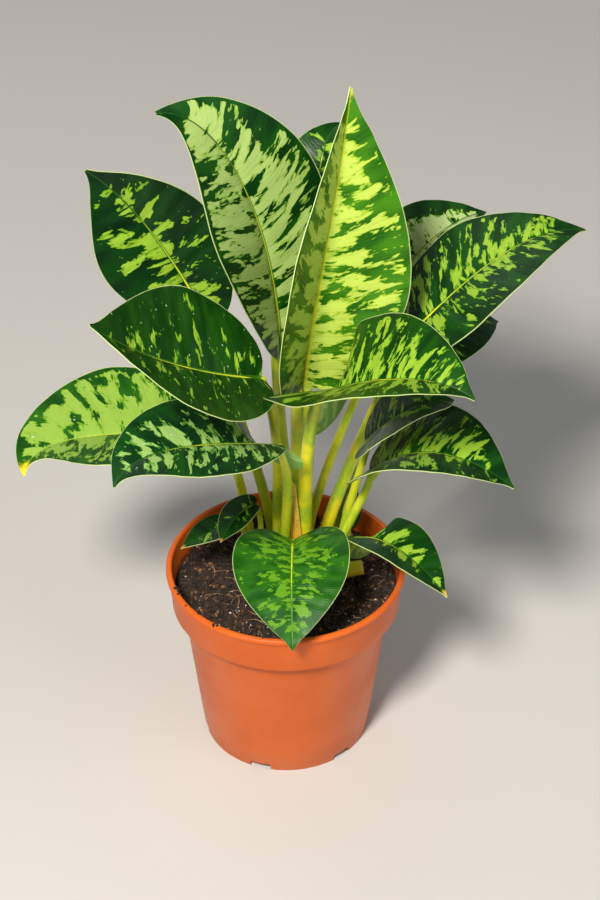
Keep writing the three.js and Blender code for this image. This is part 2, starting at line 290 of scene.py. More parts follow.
# rib: midrib from neck to tip; half: half width; fold and roll in degrees; lobe and belly shape the
# base; foot: where the stalk leaves the soil; stalk: radius at foot and neck; all else in millimetres;
# droop: the base lobe of one side hangs by turn degrees, and the other is lifted by lift
leafShapes = {
    "upright": {
        "rib": [(9, -3, 228), (15, 1, 285), (28, 18, 335), (33, 40, 385)],
        "half": 47, "fold": 29, "roll": -69, "lobe": 8, "belly": 0.72, "foot": (7, 10), "stalk": (4, 3.2)},
    "hook_left": {
        "rib": [(-2, 18, 235), (-2, 20, 306), (-30, 29, 384), (-66, 14, 380)],
        "half": 39, "fold": 18, "roll": 48, "lobe": 6, "belly": 1, "foot": (3, 24), "stalk": (3.8, 2.8)},
    "far_left": {
        "rib": [(-40, 24, 254), (-56, 25, 288), (-74, 26, 324), (-100, 18, 348)],
        "half": 33, "fold": 14, "roll": 85, "lobe": 9, "belly": 0.94, "foot": (-6, 29), "stalk": (3.2, 2.4)},
    "front_left": {
        "rib": [(-10, -25, 252), (-36, -39, 262), (-72, -62, 290), (-92, -84, 325)],
        "half": 40, "fold": 20, "roll": 32, "lobe": 6, "belly": 0.78, "foot": (-5, 9), "stalk": (3, 2.4)},
    "low_far_left": {
        "rib": [(-33, 12, 190), (-75, 12, 191), (-141, 14, 193), (-136, -14, 178)],
        "half": 45, "fold": 15, "roll": 0, "lobe": 8, "belly": 0.9, "foot": (-18, 15), "stalk": (3, 2.4)},
    "low_left": {
        "rib": [(-2, -36, 219), (-30, -50, 230), (-79, -64, 243), (-84, -84, 225)],
        "half": 34, "fold": 8, "roll": 2, "lobe": 6, "belly": 0.9, "foot": (-3, 0), "stalk": (3, 2.2),
        "droop": {"side": 1, "turn": 125, "within": 0.34, "back": 20, "lift": 6, "nearBack": -3}},
    "front_right": {
        "rib": [(14, -28, 243), (35, -45, 266), (74, -62, 286), (94, -72, 270)],
        "half": 42, "fold": 20, "roll": -4, "lobe": 8, "belly": 0.78, "foot": (10, -1), "stalk": (4.8, 2.8),
        "droop": {"side": -1, "turn": 118, "within": 0.36, "back": 28, "lift": 28, "nearBack": 10}},
    "right": {
        "rib": [(56, 28, 232), (86, 28, 268), (120, 40, 306), (158, 54, 289)],
        "half": 40, "fold": 5, "roll": 0, "lobe": 7, "belly": 0.8, "foot": (17, 13), "stalk": (3.8, 2.8)},
    "back_right": {
        "rib": [(58, 80, 236), (72, 90, 258), (92, 103, 270), (110, 114, 263)],
        "half": 30, "fold": 10, "roll": 0, "lobe": 6, "belly": 0.8, "foot": (11, 35), "stalk": (2.8, 2.2)},
    "back_centre": {
        "rib": [(14, 56, 228), (16, 68, 284), (14, 88, 334), (32, 108, 322)],
        "half": 34, "fold": 10, "roll": 0, "lobe": 8, "belly": 0.8, "foot": (2, 40), "stalk": (2.8, 2.2)},
    "shaded_right": {
        "rib": [(41, 0, 193), (54, -6, 214), (70, -8, 228), (89, 2, 218)],
        "half": 31, "fold": 8, "roll": 12, "lobe": 4, "belly": 0.8, "foot": (27, 9), "stalk": (2.6, 2)},
    "low_right": {
        "rib": [(43, -4, 175), (62, -12, 202), (88, -27, 213), (119, -38, 190)],
        "half": 36, "fold": 14, "roll": 4, "lobe": 7, "belly": 0.75, "foot": (20, -2), "stalk": (2.8, 2.2)},
    "tucked_right": {
        "rib": [(56, 33, 216), (76, 46, 234), (99, 60, 233), (116, 76, 217)],
        "half": 24, "fold": 4, "roll": -15, "lobe": 4, "belly": 0.8, "foot": (24, 25), "stalk": (2.6, 2)},
    "front_heart": {
        "rib": [(4, -16, 141), (3, -36, 148), (3, -62, 137), (4, -79, 115)],
        "half": 31, "fold": 8, "roll": -4, "lobe": 17, "belly": 0.72, "foot": (5, -13), "stalk": (2.4, 1.9)},
    "low_right_small": {
        "rib": [(37, -6, 134), (52, -18, 147), (70, -33, 141), (86, -45, 123)],
        "half": 21, "fold": 14, "roll": 10, "lobe": 6, "belly": 0.75, "foot": (16, -10), "stalk": (2.2, 1.7),
        "droop": {"side": -1, "turn": 125, "within": 0.34, "back": 9, "lift": 8, "nearBack": 0}},
    "left_small": {
        "rib": [(-24, 10, 131), (-34, 6, 133), (-46, -1, 131), (-57, -7, 126)],
        "half": 10, "fold": 10, "roll": 0, "lobe": 3, "belly": 0.8, "foot": (-20, 3), "stalk": (1.8, 1.4)},
    "left_folded": {
        "rib": [(-15, 2, 150), (-22, -1, 151), (-30, -6, 145), (-35, -12, 134)],
        "half": 9, "fold": 30, "roll": 30, "lobe": 2, "belly": 0.8, "foot": (-15, 8), "stalk": (1.8, 1.4)},
    "inner_small": {
        "rib": [(35, 22, 116), (35, 23, 126), (36, 24, 138), (37, 24, 148)],
        "half": 6, "fold": 20, "roll": -68, "lobe": 1, "belly": 0.8, "foot": (34, 22), "stalk": (1.6, 1.2)},
}
bladeForm = {"steps": (44, 96), "ends": 0.02, "thickness": 0.42, "roundness": 0.8, "tipSharpness": 0.4,
             "veinSweep": 0.11, "lobeReach": 0.12, "spread": 1.25, "tipPinch": 0.4, "pinchFrom": 0.84}
bladeRelief = {"groove": 0.9, "grooveWidth": 1.7, "swell": 0.34, "swells": 10, "wave": 0.5, "waves": 3}
curveSteps = 200
stalkHandles = {"root": 0.28, "neck": 0.08, "drop": 0.16}  # shares of the stalk's rise
ribStops = (0.17, 0.27, 0.38, 0.5, 0.62, 0.74, 0.85, 0.93)


def bezierSpot(points, t):
    s = 1 - t
    return points[0] * s ** 3 + points[1] * (3 * s * s * t) + points[2] * (3 * s * t * t) + points[3] * t ** 3


def bezierWay(points, t):
    s = 1 - t
    first, second, third = (points[i + 1] - points[i] for i in range(3))
    return (first * (s * s) + second * (2 * s * t) + third * (t * t)).normalized()


def measureCurve(points):
    points = [Vector(p) for p in points]
    lengths = [0.0]
    last = points[0]
    for i in range(1, curveSteps + 1):
        spot = bezierSpot(points, i / curveSteps)
        lengths.append(lengths[-1] + (spot - last).length)
        last = spot
    return {"points": points, "lengths": lengths, "length": lengths[-1]}


def timeAt(curve, share):
    goal = share * curve["length"]
    low = min(max(bisect.bisect_right(curve["lengths"], goal) - 1, 0), curveSteps - 1)
    step = curve["lengths"][low + 1] - curve["lengths"][low]
    return min((low + (goal - curve["lengths"][low]) / step) / curveSteps, 1.0)


def leafAxes(shape):
    curve = measureCurve(shape["rib"])
    chord = (curve["points"][3] - curve["points"][0]).normalized()
    level = Vector((chord.y, -chord.x, 0)).normalized()
    side = Matrix.Rotation(-math.radians(shape["roll"]), 3, chord) @ level
    return curve, side


def ease(share):
    share = min(max(share, 0), 1)
    return share * share * (3 - 2 * share)


def lobeDroop(shape, along, across):
    # on some leaves the base lobe of one side hangs, so that its underside shows
    if "droop" not in shape:
        return 0, 0
    fade = 1 - ease(along / shape["droop"]["within"])
    if across * shape["droop"]["side"] <= 0:
        return -math.radians(shape["droop"]["lift"]) * fade, shape["droop"]["nearBack"]
    return math.radians(shape["droop"]["turn"]) * fade, shape["droop"]["back"]


def bladeSpot(shape, curve, side, along, across):
    # the same surface as the solid leaf: along follows the side veins out to the margin
    reach = abs(across)
    roundness = bladeForm["roundness"] + bladeForm["tipSharpness"] * along
    half = shape["half"] * math.sin(math.pi * along ** shape["belly"]) ** roundness
    half *= 1 - bladeForm["tipPinch"] * ease((along - bladeForm["pinchFrom"]) / (1 - bladeForm["pinchFrom"]))
    droop, back = lobeDroop(shape, along, across)
    lobe = along / bladeForm["lobeReach"]
    outer = curve["length"] * along - (shape["lobe"] + back) * lobe * math.exp(1 - lobe)
    inner = curve["length"] * (along - bladeForm["veinSweep"] * math.sin(math.pi * along))
    share = (inner + (outer - inner) * reach ** bladeForm["spread"]) / curve["length"]
    onRib = min(max(share, 0.0), 1.0)
    t = timeAt(curve, onRib)
    way = bezierWay(curve["points"], t)
    spot = bezierSpot(curve["points"], t) + way * ((share - onRib) * curve["length"])
    flat = (side - way * side.dot(way)).normalized()
    up = flat.cross(way)
    out = half * reach
    fold = math.radians(shape["fold"]) - droop
    spot = spot + flat * (math.copysign(out, across) * math.cos(fold)) + up * (out * math.sin(fold))
    return spot, up, math.copysign(out, across)


def bladeLift(shape, along, out, seed):
    # the midrib lies in a groove, the blade swells between side veins and its margin waves a little
    width = shape["half"] / 40
    reach = min(abs(out) / shape["half"], 1)
    groove = bladeRelief["groove"] * math.exp(-(out / bladeRelief["grooveWidth"]) ** 2) * (1 - along) ** 0.5
    turn = along * bladeRelief["swells"] + 0.4 * noise.noise(Vector((along * 4, reach * 2, seed)))
    swell = bladeRelief["swell"] * abs(math.sin(math.pi * turn)) * min(reach * 5, 1) * (1 - reach * 0.5)
    wave = math.sin(2 * math.pi * (bladeRelief["waves"] * along + seed * 0.37)) * reach ** 3
    return (swell - groove + bladeRelief["wave"] * wave) * width


def selectNone():
    bpy.ops.object.select_all(action="DESELECT")


def editMesh():
    bpy.ops.object.mode_set(mode="EDIT")


def leaveMesh():
    bpy.ops.object.mode_set(mode="OBJECT")


def faceOutwards():
    bpy.ops.mesh.select_all(action="SELECT")
    bpy.ops.mesh.normals_make_consistent(inside=False)
    leaveMesh()


def settle():
    # the object's own place goes into its mesh
    bpy.ops.object.transform_apply(location=True, rotation=True, scale=True)


def select(*things):
    selectNone()
    for thing in things:
        thing.select_set(True)
    bpy.context.view_layer.objects.active = things[0]


def applyModifiers(thing):
    select(thing)
    for modifier in list(thing.modifiers):
        bpy.ops.object.modifier_apply(modifier=modifier.name)


def smooth(thing, angle=38):
    select(thing)
    bpy.ops.object.shade_smooth_by_angle(angle=math.radians(angle))


def addBlade(name, shape, seed):
    curve, side = leafAxes(shape)
    across, along = bladeForm["steps"] if shape["half"] > 15 else (22, 48)
    selectNone()
    bpy.ops.mesh.primitive_grid_add(x_subdivisions=across, y_subdivisions=along, size=2)
    blade = bpy.context.object
    blade.name = "leaf_" + name + "_blade"
    blade.data.uv_layers[0].name = "share"
    sizes = []
    for vertex in blade.data.vertices:
        eased = (1 - math.cos(math.pi * (vertex.co.y + 1) / 2)) / 2
        place01 = bladeForm["ends"] + (1 - 2 * bladeForm["ends"]) * eased
        spot, up, out = bladeSpot(shape, curve, side, place01, vertex.co.x)
        spot = spot + up * bladeLift(shape, place01, out, seed)
        sizes.append((out, place01 * curve["length"], place01))
        vertex.co = place(spot)
    shares, sized = blade.data.uv_layers["share"], blade.data.uv_layers.new(name="size")
    for loop in blade.data.loops:
        out, length, place01 = sizes[loop.vertex_index]
        sized.data[loop.index].uv = (out, length)
        shares.data[loop.index].uv.y = place01
    wall = blade.modifiers.new("thickness", "SOLIDIFY")
    wall.thickness = bladeForm["thickness"] * mm
    wall.offset = -1
    wall.material_offset = 1
    wall.material_offset_rim = 2
    return blade


def addStalk(name, shape):
    # one curve from root to neck, which then runs on under the blade as its midrib
    curve, side = leafAxes(shape)
    neck, way = curve["points"][0], bezierWay(curve["points"], 0)
    flat = (side - way * side.dot(way)).normalized()
    under = -flat.cross(way)
    footRadius, neckRadius = shape["stalk"]
    root = Vector((shape["foot"][0], shape["foot"][1], 90))
    end = neck + under * neckRadius * 1.25
    rise = (neck - root).length
    leave = root + Vector((0, 0, rise * stalkHandles["root"]))
    arrive = end - way * rise * stalkHandles["neck"] - Vector((0, 0, rise * stalkHandles["drop"]))
    selectNone()
    bpy.ops.curve.primitive_bezier_curve_add()
    stalk = bpy.context.object
    stalk.name = "stalk_" + name + "_stem"
    stops = stalk.data.splines[0].bezier_points
    stops.add(len(ribStops))
    onward = end + way * curve["length"] * 0.05 + under * 0.6
    for stop, (spot, before, after, radius) in zip(stops, (
            (root, root - (leave - root), leave, footRadius), (end, arrive, onward, neckRadius))):
        stop.handle_left_type = stop.handle_right_type = "FREE"
        stop.co, stop.handle_left, stop.handle_right = place(spot), place(before), place(after)
        stop.radius = radius * mm
    for stop, along in zip(stops[2:], ribStops):
        radius = neckRadius * 0.62 * (1 - along) ** 0.8 + 0.12
        spot, up = bladeSpot(shape, curve, side, along, 0)[:2]
        depth = radius * 0.5 + bladeRelief["groove"] * (1 - along) ** 0.5 * shape["half"] / 40 + 0.3
        stop.co = place(spot - up * depth)
        stop.handle_left_type = stop.handle_right_type = "AUTO"
        stop.radius = radius * mm
    stalk.data.bevel_depth = 1
    stalk.data.bevel_resolution = 5
    stalk.data.resolution_u = 12
    stalk.data.use_fill_caps = True
    select(stalk)
    bpy.ops.object.convert(target="MESH")
    stalk = bpy.context.object
    stalk.location = (0, 0, 0)
    return stalk


# what is seen on each leaf: cover is the pale share of it, patch the width of a patch in millimetres
leafLooks = {
    "upright": {"seed": 3.1, "cover": 0.5, "patch": 6.5, "stretch": 2.7, "ribWidth": 1.7,
                "deep": (0.012, 0.09, 0.003), "mid": (0.05, 0.2, 0.006), "lime": (0.3, 0.46, 0.03),
                "cream": (0.48, 0.62, 0.09), "rib": (0.52, 0.6, 0.015), "tip": (0.4, 0.44, 0.03),
                "tipFrom": 0.965},
    "hook_left": {"seed": 8.4, "cover": 0.56, "patch": 5.2, "stretch": 3.2, "centre": 0.1,
                  "deep": (0.001, 0.022, 0.003), "mid": (0.006, 0.062, 0.004), "lime": (0.22, 0.38, 0.05),
                  "cream": (0.36, 0.5, 0.14), "rib": (0.01, 0.07, 0.005)},
    "far_left": {"seed": 5.2, "cover": 0.22, "centre": 0.12, "patch": 7, "stretch": 2.2,
                 "deep": (0.0006, 0.014, 0.003), "mid": (0.002, 0.036, 0.003), "lime": (0.16, 0.34, 0.015)},
    "front_left": {"seed": 2.3, "cover": 0.17, "patch": 5, "beads": 5.5,
                   "deep": (0.003, 0.034, 0.002), "mid": (0.01, 0.066, 0.004), "rib": (0.04, 0.14, 0.008)},
    "low_far_left": {"seed": 12.6, "cover": 0.58, "patch": 5.5, "deep": (0.004, 0.05, 0.003),
                     "mid": (0.018, 0.11, 0.005), "lime": (0.14, 0.32, 0.015), "cream": (0.27, 0.44, 0.06),
                     "rib": (0.26, 0.42, 0.04), "tip": (0.72, 0.6, 0.02), "beads": 9},
    "low_left": {"seed": 7.7, "cover": 0.38, "patch": 5, "deep": (0.001, 0.02, 0.005),
                 "mid": (0.005, 0.055, 0.006), "lime": (0.1, 0.27, 0.03), "cream": (0.28, 0.45, 0.12),
                 "beads": 7},
    "front_right": {"seed": 9.9, "cover": 0.42, "patch": 3, "stretch": 4.6, "ragged": 0.22,
                    "deep": (0.002, 0.028, 0.002), "mid": (0.008, 0.066, 0.003)},
    "right": {"seed": 4.5, "cover": 0.36, "patch": 4.5, "stretch": 3.2},
    "back_right": {"seed": 6.1, "cover": 0.34, "patch": 4.5, "centre": 0.3, "cream": (0.4, 0.52, 0.2)},
    "back_centre": {"seed": 1.4, "cover": 0.2, "patch": 5},
    "shaded_right": {"seed": 11.2, "cover": 0.28, "patch": 4.5, "deep": (0.006, 0.04, 0.003)},
    "low_right": {"seed": 13.5, "cover": 0.38, "patch": 4, "stretch": 3.8},
    "tucked_right": {"seed": 15.3, "cover": 0.15, "patch": 5},
    "front_heart": {"seed": 16.8, "cover": 0.34, "patch": 3.2, "stretch": 2.4, "ragged": 0.3, "centre": 0.14,
                    "deep": (0.005, 0.06, 0.003), "mid": (0.02, 0.12, 0.005), "lime": (0.06, 0.2, 0.006),
                    "cream": (0.11, 0.28, 0.012), "rib": (0.06, 0.19, 0.008)},
    "low_right_small": {"seed": 18.2, "cover": 0.14, "centre": 0.2, "patch": 5, "stretch": 3.5,
                        "tip": (0.6, 0.4, 0.05)},
    "left_small": {"seed": 19.4, "cover": 0.15, "patch": 4, "tip": (0.4, 0.2, 0.04), "tipFrom": 0.93},
    "left_folded": {"seed": 21.5, "cover": 0.12, "patch": 4, "tip": (0.42, 0.2, 0.04), "tipFrom": 0.93},
    "inner_small": {"seed": 22.9, "cover": 0.3, "patch": 3},
}
plainLook = {"stretch": 2.8, "ragged": 0.19, "centre": 0.08, "ribWidth": 1.0, "tip": None, "tipFrom": 0.94,
             "beads": 0, "deep": (0.001, 0.022, 0.002),
             "mid": (0.006, 0.058, 0.003), "lime": (0.12, 0.3, 0.012), "cream": (0.28, 0.46, 0.035),
             "rib": (0.015, 0.09, 0.006)}
marginPale = (0.46, 0.58, 0.22, 1)
# the pale colour of the water beads: a painted glint on each bead
beadGlintPale = (0.5, 0.66, 0.5, 1)
# the underside's own paler greens, painted brighter still as a painted glow of light shining through the thin
# blade
underPaleLitThrough = (0.44, 0.56, 0.16, 1)
underGreenLitThrough = (0.15, 0.32, 0.05, 1)


def opaque(color):
    return (*color, 1)


def uvSpot(tree, name):
    node = tree.nodes.new("ShaderNodeUVMap")
    node.uv_map = name
    return node.outputs[0]


def addPatches(tree, look, share, size):
    return useGroup(tree, leafPatches, Share=share, Size=size, Seed=look["seed"], Patch=look["patch"],
                    Stretch=look["stretch"], Cover=look["cover"], Ragged=look["ragged"], Centre=look["centre"])


def bladeTop(name, look):
    material, tree, shader = newMaterial("leaf_top_" + name, 0.38, coat=0.03, coatRoughness=0.15,
                                         specular=0.18)
    share, size = uvSpot(tree, "share"), uvSpot(tree, "size")
    patches = addPatches(tree, look, share, size)
    veins = useGroup(tree, leafVeins, Share=share, Size=size, Broad=look["ribWidth"])
    uneven = unevenness(tree, 60.0, look["seed"])
    green = mixColor(tree, patches["Shade"], opaque(look["deep"]), opaque(look["mid"]))
    green = mixColor(tree, times(tree, veins["Fine"], 0.22), green, opaque(look["mid"]))
    pale = mixColor(tree, patches["Bright"], opaque(look["lime"]), opaque(look["cream"]))
    fleck = times(tree, patches["Fleck"], soften(tree, uneven["Soft"], 0.5, 0.8))
    mask = calc(tree, "MAXIMUM", patches["Pale"], times(tree, fleck, 0.8))
    color = mixColor(tree, mask, green, pale)
    color = mixColor(tree, times(tree, veins["Line"], 0.12), color, opaque(look["mid"]))
    color = mixColor(tree, times(tree, veins["Rib"], 0.85), color, opaque(look["rib"]))
    color = mixColor(tree, times(tree, uneven["Fine"], 0.22), color,
                     mixColor(tree, 0.5, color, (0, 0.02, 0, 1)))
    if look["tip"]:
        withered = soften(tree, calc(tree, "MULTIPLY_ADD", uneven["Fine"], 0.04, splitXyz(tree, share)[1]),
                          look["tipFrom"], look["tipFrom"] + 0.03)
        color = mixColor(tree, withered, color, opaque(look["tip"]))
    color = mixColor(tree, veins["Margin"], color, marginPale)
    if look["beads"]:
        bead = waterBeads(tree, size, look["beads"])
        # the water beads are painted pale: a painted glint on each bead
        color = mixColor(tree, times(tree, bead, 0.75), color, beadGlintPale)
    feed(tree, shader.inputs["Base Color"], color)
    feed(tree, shader.inputs["Roughness"], soften(tree, uneven["Soft"], 0, 1, 0.31, 0.44))
    height = calc(tree, "MULTIPLY_ADD", veins["Fine"], 0.22, veins["Swell"])
    height = calc(tree, "MULTIPLY_ADD", uneven["Fine"], 0.12, height)
    height = calc(tree, "SUBTRACT", height, times(tree, veins["Rib"], 0.5))
    if look["beads"]:
        height = calc(tree, "MULTIPLY_ADD", bead, 0.8, height)
    addBump(tree, shader, height, 0.35, 0.0006)
    return material


def waterBeads(tree, size, spread):
    # fine beads of water standing on the blade, about one in each square of the given spread; this mask paints
    # them pale, a painted glint on the water
    parts = splitXyz(tree, size)
    cells = tree.nodes.new("ShaderNodeTexVoronoi")
    cells.inputs["Scale"].default_value = 1.0
    spots = joinXyz(tree, calc(tree, "DIVIDE", parts[0], spread), calc(tree, "DIVIDE", parts[1], spread), 0.0)
    tree.links.new(spots, cells.inputs["Vector"])
    return soften(tree, times(tree, cells.outputs["Distance"], spread), 0.3, 0.6, 1.0, 0.0)


def bladeUnder(name, look):
    material, tree, shader = newMaterial("leaf_under_" + name, 0.5, coat=0.05, coatRoughness=0.3)
    share, size = uvSpot(tree, "share"), uvSpot(tree, "size")
    patches = addPatches(tree, look, share, size)
    veins = useGroup(tree, leafVeins, Share=share, Size=size)
    uneven = unevenness(tree, 80.0, look["seed"])
    # underside colour: its own paler green, with the patches showing faintly, painted brighter as a painted
    # glow of light shining through
    color = mixColor(tree, times(tree, patches["Pale"], 0.75), underGreenLitThrough, underPaleLitThrough)
    color = mixColor(tree, times(tree, uneven["Soft"], 0.3), color, underGreenLitThrough)
    color = mixColor(tree, times(tree, veins["Line"], 0.5), color, underPaleLitThrough)
    color = mixColor(tree, veins["Rib"], color, underPaleLitThrough)
    feed(tree, shader.inputs["Base Color"], color)
    feed(tree, shader.inputs["Roughness"], soften(tree, uneven["Soft"], 0, 1, 0.44, 0.56))
    height = calc(tree, "SUBTRACT", times(tree, veins["Line"], 0.8), veins["Swell"])
    addBump(tree, shader, calc(tree, "MULTIPLY_ADD", uneven["Fine"], 0.2, height), 0.35, 0.0006)
    return material


def bladeMargin():
    material, tree, shader = newMaterial("leaf_margin", 0.45)
    uneven = unevenness(tree, 150.0, 4.0)
    color = mixColor(tree, uneven["Soft"], marginPale, (0.5, 0.62, 0.22, 1))
    feed(tree, shader.inputs["Base Color"], color)
    addBump(tree, shader, uneven["Fine"], 0.2, 0.0003)
    return material


stalkLook = {"green": (0.34, 0.5, 0.02, 1), "yellow": (0.84, 0.72, 0.008, 1), "pale": (0.76, 0.78, 0.06, 1)}


def stalkSkin(name, seed, yellowness):
    material, tree, shader = newMaterial("stalk_skin_" + name, 0.34, coat=0.25, coatRoughness=0.14)
    spot = objectSpot(tree)
    parts = splitXyz(tree, spot)
    drawn = joinXyz(tree, parts[0], parts[1], times(tree, parts[2], 0.06))
    fibres = cloud(tree, drawn, 900.0, 2.5)
    uneven = useGroup(tree, mottle, Spot=spot, Scale=45.0, Seed=seed)
    color = mixColor(tree, times(tree, soften(tree, uneven["Soft"], 0.0, 1.0), yellowness),
                     stalkLook["green"], stalkLook["yellow"])
    color = mixColor(tree, soften(tree, fibres, 0.45, 0.62, 0.0, 0.22), color, stalkLook["pale"])
    color = mixColor(tree, soften(tree, uneven["Fine"], 0.66, 0.76, 0.0, 0.12), color, (0.1, 0.12, 0.02, 1))
    feed(tree, shader.inputs["Base Color"], color)
    feed(tree, shader.inputs["Roughness"], soften(tree, fibres, 0.3, 0.7, 0.27, 0.42))
    addBump(tree, shader, fibres, 0.3, 0.0004)
    return material


marginMaterial = bladeMargin()
yellowStalks = {"upright": 1.0, "right": 1.0, "low_far_left": 0.9, "front_right": 0.85, "back_right": 0.8,
                "front_left": 0.7}
for name, shape in leafShapes.items():
    look = {**plainLook, **leafLooks[name]}
    blade = addBlade(name, shape, look["seed"])
    for material in (bladeTop(name, look), bladeUnder(name, look), marginMaterial):
        blade.data.materials.append(material)
    applyModifiers(blade)
    smooth(blade)
    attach(blade, "root")
    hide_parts("leaf_" + name)
    stalk = addStalk(name, shape)
    stalk.data.materials.clear()
    stalk.data.materials.append(stalkSkin(name, look["seed"], yellowStalks.get(name, 0.45)))
    smooth(stalk)
    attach(stalk, "root")
    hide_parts("stalk_" + name)
print("leaves and stalks grown:", len(leafShapes))


# the pot's profile, in millimetres, and its notches and drain holes
potForm = {"foot": 46, "ringWall": 4, "under": 5, "floorTop": 7, "ledge": 4.6, "ledgeDepth": 0.35,
           "shoulder": 56.5, "collarFoot": 88, "collar": 62, "rim": 65, "height": 111, "wall": 1.8,
           "sides": 144, "notches": 6, "notchWidth": 9, "notchHeight": 3.5, "firstNotch": -108,
           "drainRadius": 3.5, "drainCircle": 34, "edge": 0.35, "notchDepth": 12, "drainDepth": 8}


def potWallAt(height):
    share = height / potForm["collarFoot"]
    return potForm["foot"] + (potForm["shoulder"] - potForm["foot"]) * share


def potRings():
    form = potForm
    ledge, foot, top = form["ledge"], form["collarFoot"], form["height"]
    return [(form["foot"] - form["ringWall"] - 1, form["under"]), (form["foot"] - form["ringWall"], 0),
            (form["foot"] - form["ledgeDepth"], 0), (potWallAt(ledge) - form["ledgeDepth"], ledge),
            (potWallAt(ledge), ledge + 0.7), (potWallAt(foot - 1), foot - 1),
            (form["collar"], foot), (form["rim"] - 1.5, top - 4), (form["rim"], top - 2.7),
            (form["rim"] - 0.1, top - 1.2), (form["rim"] - 0.7, top - 0.4), (form["rim"] - 2, top),
            (form["rim"] - 3, top - 0.4), (form["rim"] - 3.4, top - 1.4),
            (form["collar"] - form["wall"] - 0.4, foot + 3), (potWallAt(foot) - form["wall"], foot - 1),
            (potWallAt(form["floorTop"]) - form["wall"], form["floorTop"])]


def extrudeRings(rings, sides):
    # a disc whose edge is drawn up and out ring by ring, and closed with a face at the end
    selectNone()
    bpy.ops.mesh.primitive_circle_add(vertices=sides, radius=rings[0][0] * mm, fill_type="NGON",
                                      location=place((0, 0, rings[0][1])))
    settle()
    editMesh()
    bpy.ops.mesh.select_mode(type="EDGE")
    bpy.ops.mesh.select_all(action="SELECT")
    bpy.ops.mesh.region_to_loop()
    for (lastRadius, lastHeight), (radius, height) in zip(rings, rings[1:]):
        bpy.ops.mesh.extrude_edges_move(TRANSFORM_OT_translate={"value": (0, 0, (height - lastHeight) * mm)})
        grow = radius / lastRadius
        bpy.ops.transform.resize(value=(grow, grow, 1), center_override=place((0, 0, height)))
    bpy.ops.mesh.edge_face_add()
    faceOutwards()
    return bpy.context.object


def potCutters():
    # six notches in the foot ring, and six drain holes in the floor
    cutters = []
    for i in range(potForm["notches"]):
        turn = math.radians(potForm["firstNotch"] + 360 / potForm["notches"] * i)
        out = Vector((math.cos(turn), math.sin(turn), 0))
        selectNone()
        bpy.ops.mesh.primitive_cube_add(size=1, location=place(out * (potForm["foot"] - 1)),
                                        rotation=(0, 0, turn))
        bpy.ops.transform.resize(value=(potForm["notchDepth"] * mm, potForm["notchWidth"] * mm,
                                        potForm["notchHeight"] * 2 * mm))
        cutters.append(bpy.context.object)
        bpy.ops.mesh.primitive_cylinder_add(vertices=20, radius=potForm["drainRadius"] * mm,
                                            depth=potForm["drainDepth"] * mm,
                                            location=place(out * potForm["drainCircle"] + Vector((0, 0, 6))))
        cutters.append(bpy.context.object)
    select(*cutters)
    bpy.ops.object.join()
    settle()
    return bpy.context.object


def potPlastic():
    material, tree, shader = newMaterial("pot_plastic", 0.42, coat=0.04, coatRoughness=0.3, specular=0.3)
    spot = objectSpot(tree)
    height = splitXyz(tree, spot)[2]
    uneven = useGroup(tree, mottle, Spot=spot, Scale=28.0, Seed=2.0)
    grit = useGroup(tree, mottle, Spot=spot, Scale=260.0, Seed=6.0)
    color = mixColor(tree, times(tree, uneven["Soft"], 0.5), (0.66, 0.115, 0.006, 1),
                     (0.55, 0.085, 0.004, 1))
    dust = times(tree, soften(tree, height, 0.0, 0.02, 0.5, 0.06), uneven["Fine"])
    color = mixColor(tree, dust, color, (0.42, 0.22, 0.12, 1))
    scuff = times(tree, soften(tree, grit["Fine"], 0.66, 0.74), 0.35)
    color = mixColor(tree, scuff, color, (0.72, 0.24, 0.08, 1))
    above = soften(tree, height, 0.0885, 0.089)
    smear = times(tree, times(tree, soften(tree, height, 0.0955, 0.1005, 1.0, 0.0), above),
                 insidePot(tree, spot))
    color = mixColor(tree, times(tree, smear, grit["Soft"]), color, (0.03, 0.018, 0.01, 1))
    feed(tree, shader.inputs["Base Color"], color)
    feed(tree, shader.inputs["Roughness"], soften(tree, uneven["Soft"], 0, 1, 0.36, 0.48))
    addBump(tree, shader, calc(tree, "MULTIPLY_ADD", grit["Fine"], 0.5, grit["Soft"]), 0.1, 0.0002)
    return material


def insidePot(tree, spot):
    parts = splitXyz(tree, spot)
    x = calc(tree, "SUBTRACT", parts[0], potAxis.x)
    y = calc(tree, "SUBTRACT", parts[1], potAxis.y)
    radius = calc(tree, "SQRT", calc(tree, "ADD", times(tree, x, x), times(tree, y, y)))
    return calc(tree, "LESS_THAN", radius, (potForm["collar"] - 1) * mm)


def addPot():
    pot = extrudeRings(potRings(), potForm["sides"])
    pot.name = "nursery_pot"
    cutter = potCutters()
    cut = pot.modifiers.new("notches", "BOOLEAN")
    cut.operation, cut.solver, cut.object = "DIFFERENCE", "EXACT", cutter
    edge = pot.modifiers.new("edge", "BEVEL")
    edge.width, edge.segments, edge.limit_method = potForm["edge"] * mm, 2, "ANGLE"
    edge.angle_limit = math.radians(32)
    applyModifiers(pot)
    bpy.data.objects.remove(cutter)
    smooth(pot, 40)
    pot.data.materials.append(potPlastic())
    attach(pot, "root")
    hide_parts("pot")


addPot()
print("pot turned and notched")


